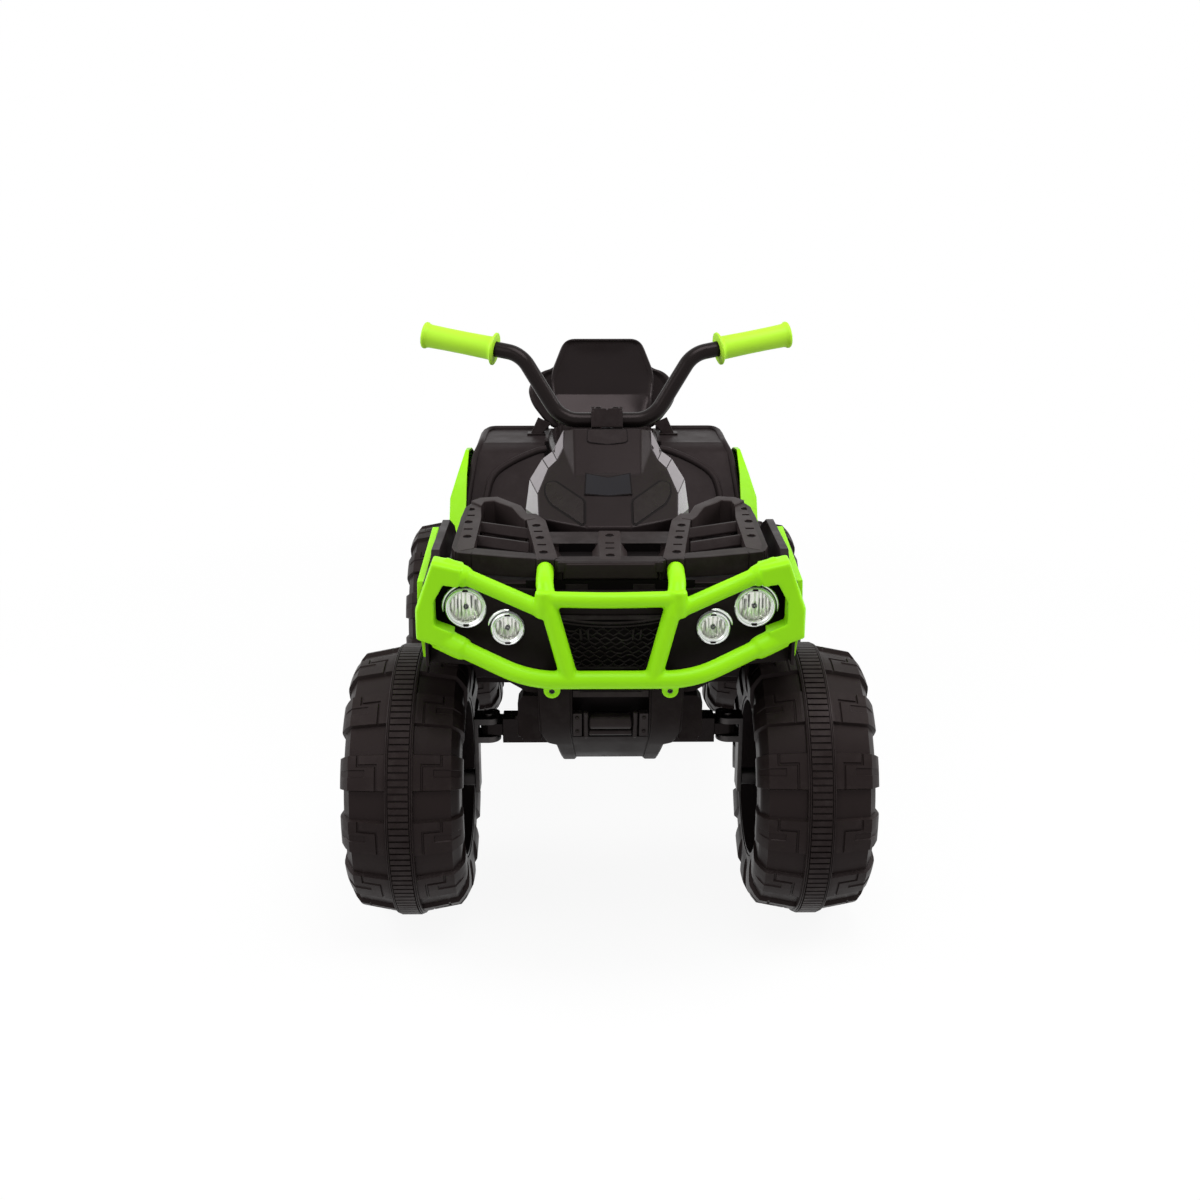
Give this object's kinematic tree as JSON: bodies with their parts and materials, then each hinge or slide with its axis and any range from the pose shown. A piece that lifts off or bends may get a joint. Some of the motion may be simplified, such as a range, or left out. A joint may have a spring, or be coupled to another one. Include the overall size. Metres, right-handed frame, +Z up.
{
  "type": "kids ride-on quad bike",
  "caption": "Child's ride-on quad with chunky lugged wheels, steered front axle, tubular front bumper, slatted rack, round headlights, handlebar and backrest.",
  "frame": {"origin": "on the floor under the middle of the toy's bounding box", "axes": "+Z up, +Y towards the rear, so the front faces -Y; +X is the rider's left"},
  "size_m": [0.668, 1.0498, 0.754],
  "materials": {
    "lime_shell": "satin lime green moulding",
    "gloss_black_shell": "glossy black moulding",
    "satin_black": "satin black moulding",
    "grip_rubber": "lime green grips",
    "smoked_window": "smoked gloss",
    "bright_trim": "bright metallised plastic",
    "mirror_bowl": "metallised bowl",
    "clear_lens": "clear fluted lens",
    "lamp_bulb": "frosted bulb",
    "red_lens": "red lens",
    "zinc_steel": "zinc plated",
    "black_steel": "black paint",
    "battery_case": "battery case",
    "red_button": "red button",
    "gear_nylon": "white nylon",
    "brass_gear": "brass",
    "tyre_plastic": "satin brown-black plastic",
    "rim_plastic": "satin black plastic"
  },
  "bodies": {
    "chassis": {"backrest": "gloss_black_shell", "battery": "battery_case", "body_tunnel": "satin_black", "bonnet": "satin_black", "bonnet_panels": "satin_black", "bonnet_window": "smoked_window", "bumper_screws": "zinc_steel", "charging_socket": "satin_black", "chassis_tub": "satin_black", "control_box": "satin_black", "dash_panel": "satin_black", "drive_motors": "zinc_steel", "fender_fins": "satin_black", "footboards": "satin_black", "front_axle_beam": "black_steel", "front_bumper": "lime_shell", "front_fascia": "satin_black", "front_fender_trims": "lime_shell", "front_fenders": "satin_black", "front_rack": "satin_black", "gearboxes": "satin_black", "grille": "satin_black", "headlight_bezels": "bright_trim", "headlight_bulbs": "lamp_bulb", "headlight_lenses": "clear_lens", "headlight_reflectors": "mirror_bowl", "kingpins": "zinc_steel", "pedal_pin": "zinc_steel", "pedal_switch": "satin_black", "rear_axle": "zinc_steel", "rear_fender_trims": "lime_shell", "rear_fenders": "gloss_black_shell", "seat": "gloss_black_shell", "skid_plate": "satin_black", "steering_bushes": "satin_black", "tail_lamps": "red_lens"},
    "steering": {"steering_shaft": "zinc_steel", "handlebar": "black_steel", "handlebar_clamp": "satin_black", "clamp_screws": "zinc_steel", "grips": "grip_rubber"},
    "knuckle_left": {"knuckle_left": "zinc_steel"},
    "knuckle_right": {"knuckle_right": "zinc_steel"},
    "tie_rod": {"tie_rod": "zinc_steel"},
    "wheel_front_left": {"tyre_front_left": "tyre_plastic", "rim_front_left": "rim_plastic"},
    "wheel_front_right": {"tyre_front_right": "tyre_plastic", "rim_front_right": "rim_plastic"},
    "wheel_rear_left": {"tyre_rear_left": "tyre_plastic", "rim_rear_left": "rim_plastic", "drive_gear_left": "gear_nylon"},
    "wheel_rear_right": {"tyre_rear_right": "tyre_plastic", "rim_rear_right": "rim_plastic", "drive_gear_right": "gear_nylon"},
    "pinion_left": {"motor_pinion_left": "brass_gear"},
    "pinion_right": {"motor_pinion_right": "brass_gear"},
    "pedal": {"accelerator_pedal": "satin_black"},
    "start_button": {"start_button": "red_button"},
    "direction_rocker": {"direction_rocker": "satin_black"},
    "speed_rocker": {"speed_rocker": "satin_black"}
  },
  "joints": [
    {"name": "steering_turn", "type": "hinge", "parent": "chassis", "child": "steering", "pos_m": [0, -0.285, 0.262], "axis": [0, 0.3692, 0.9294], "range_deg": [-35, 35]},
    {"name": "knuckle_left_turn", "type": "hinge", "parent": "chassis", "child": "knuckle_left", "pos_m": [0.158, -0.325, 0.253], "axis": [0, 0, 1], "range_deg": [-18.73, 18.73]},
    {"name": "knuckle_right_turn", "type": "hinge", "parent": "chassis", "child": "knuckle_right", "pos_m": [-0.158, -0.325, 0.253], "axis": [0, 0, 1], "range_deg": [-18.73, 18.73]},
    {"name": "tie_rod_pivot", "type": "hinge", "parent": "knuckle_left", "child": "tie_rod", "pos_m": [0.158, -0.25336, 0.2333], "axis": [0, 0, 1], "range_deg": [-18.73, 18.73]},
    {"name": "wheel_front_left_spin", "type": "hinge", "parent": "knuckle_left", "child": "wheel_front_left", "pos_m": [0.2575, -0.325, 0.18], "axis": [1, 0, 0], "continuous": true},
    {"name": "wheel_rear_left_spin", "type": "hinge", "parent": "chassis", "child": "wheel_rear_left", "pos_m": [0.2575, 0.325, 0.18], "axis": [1, 0, 0], "continuous": true},
    {"name": "pinion_left_spin", "type": "hinge", "parent": "chassis", "child": "pinion_left", "pos_m": [0.13, 0.295, 0.23196], "axis": [1, 0, 0], "continuous": true},
    {"name": "wheel_front_right_spin", "type": "hinge", "parent": "knuckle_right", "child": "wheel_front_right", "pos_m": [-0.2575, -0.325, 0.18], "axis": [1, 0, 0], "continuous": true},
    {"name": "wheel_rear_right_spin", "type": "hinge", "parent": "chassis", "child": "wheel_rear_right", "pos_m": [-0.2575, 0.325, 0.18], "axis": [1, 0, 0], "continuous": true},
    {"name": "pinion_right_spin", "type": "hinge", "parent": "chassis", "child": "pinion_right", "pos_m": [-0.13, 0.295, 0.23196], "axis": [1, 0, 0], "continuous": true},
    {"name": "pedal_press", "type": "hinge", "parent": "chassis", "child": "pedal", "pos_m": [-0.166, 0.00191, 0.252], "axis": [1, 0, 0], "range_deg": [0, 10], "stiffness_Nm_per_rad": 2, "springref_deg": -8.59},
    {"name": "direction_rocker_tilt", "type": "hinge", "parent": "chassis", "child": "direction_rocker", "pos_m": [-0.022, -0.00507, 0.54431], "axis": [1, 0, 0], "range_deg": [-8, 8]},
    {"name": "speed_rocker_tilt", "type": "hinge", "parent": "chassis", "child": "speed_rocker", "pos_m": [0.022, -0.00507, 0.54431], "axis": [1, 0, 0], "range_deg": [-8, 8]},
    {"name": "start_button_press", "type": "slide", "parent": "chassis", "child": "start_button", "axis": [0, -0.4184, -0.9083], "range_m": [0, 0.0025], "stiffness_N_per_m": 400, "springref_m": -0.002}
  ],
  "couplings": [
    {"joint": "knuckle_left_turn", "follows": "steering_turn", "ratio": 0.5337},
    {"joint": "knuckle_right_turn", "follows": "steering_turn", "ratio": 0.5337},
    {"joint": "tie_rod_pivot", "follows": "steering_turn", "ratio": -0.5337},
    {"joint": "pinion_left_spin", "follows": "wheel_rear_left_spin", "ratio": -5},
    {"joint": "pinion_right_spin", "follows": "wheel_rear_right_spin", "ratio": -5}
  ]
}
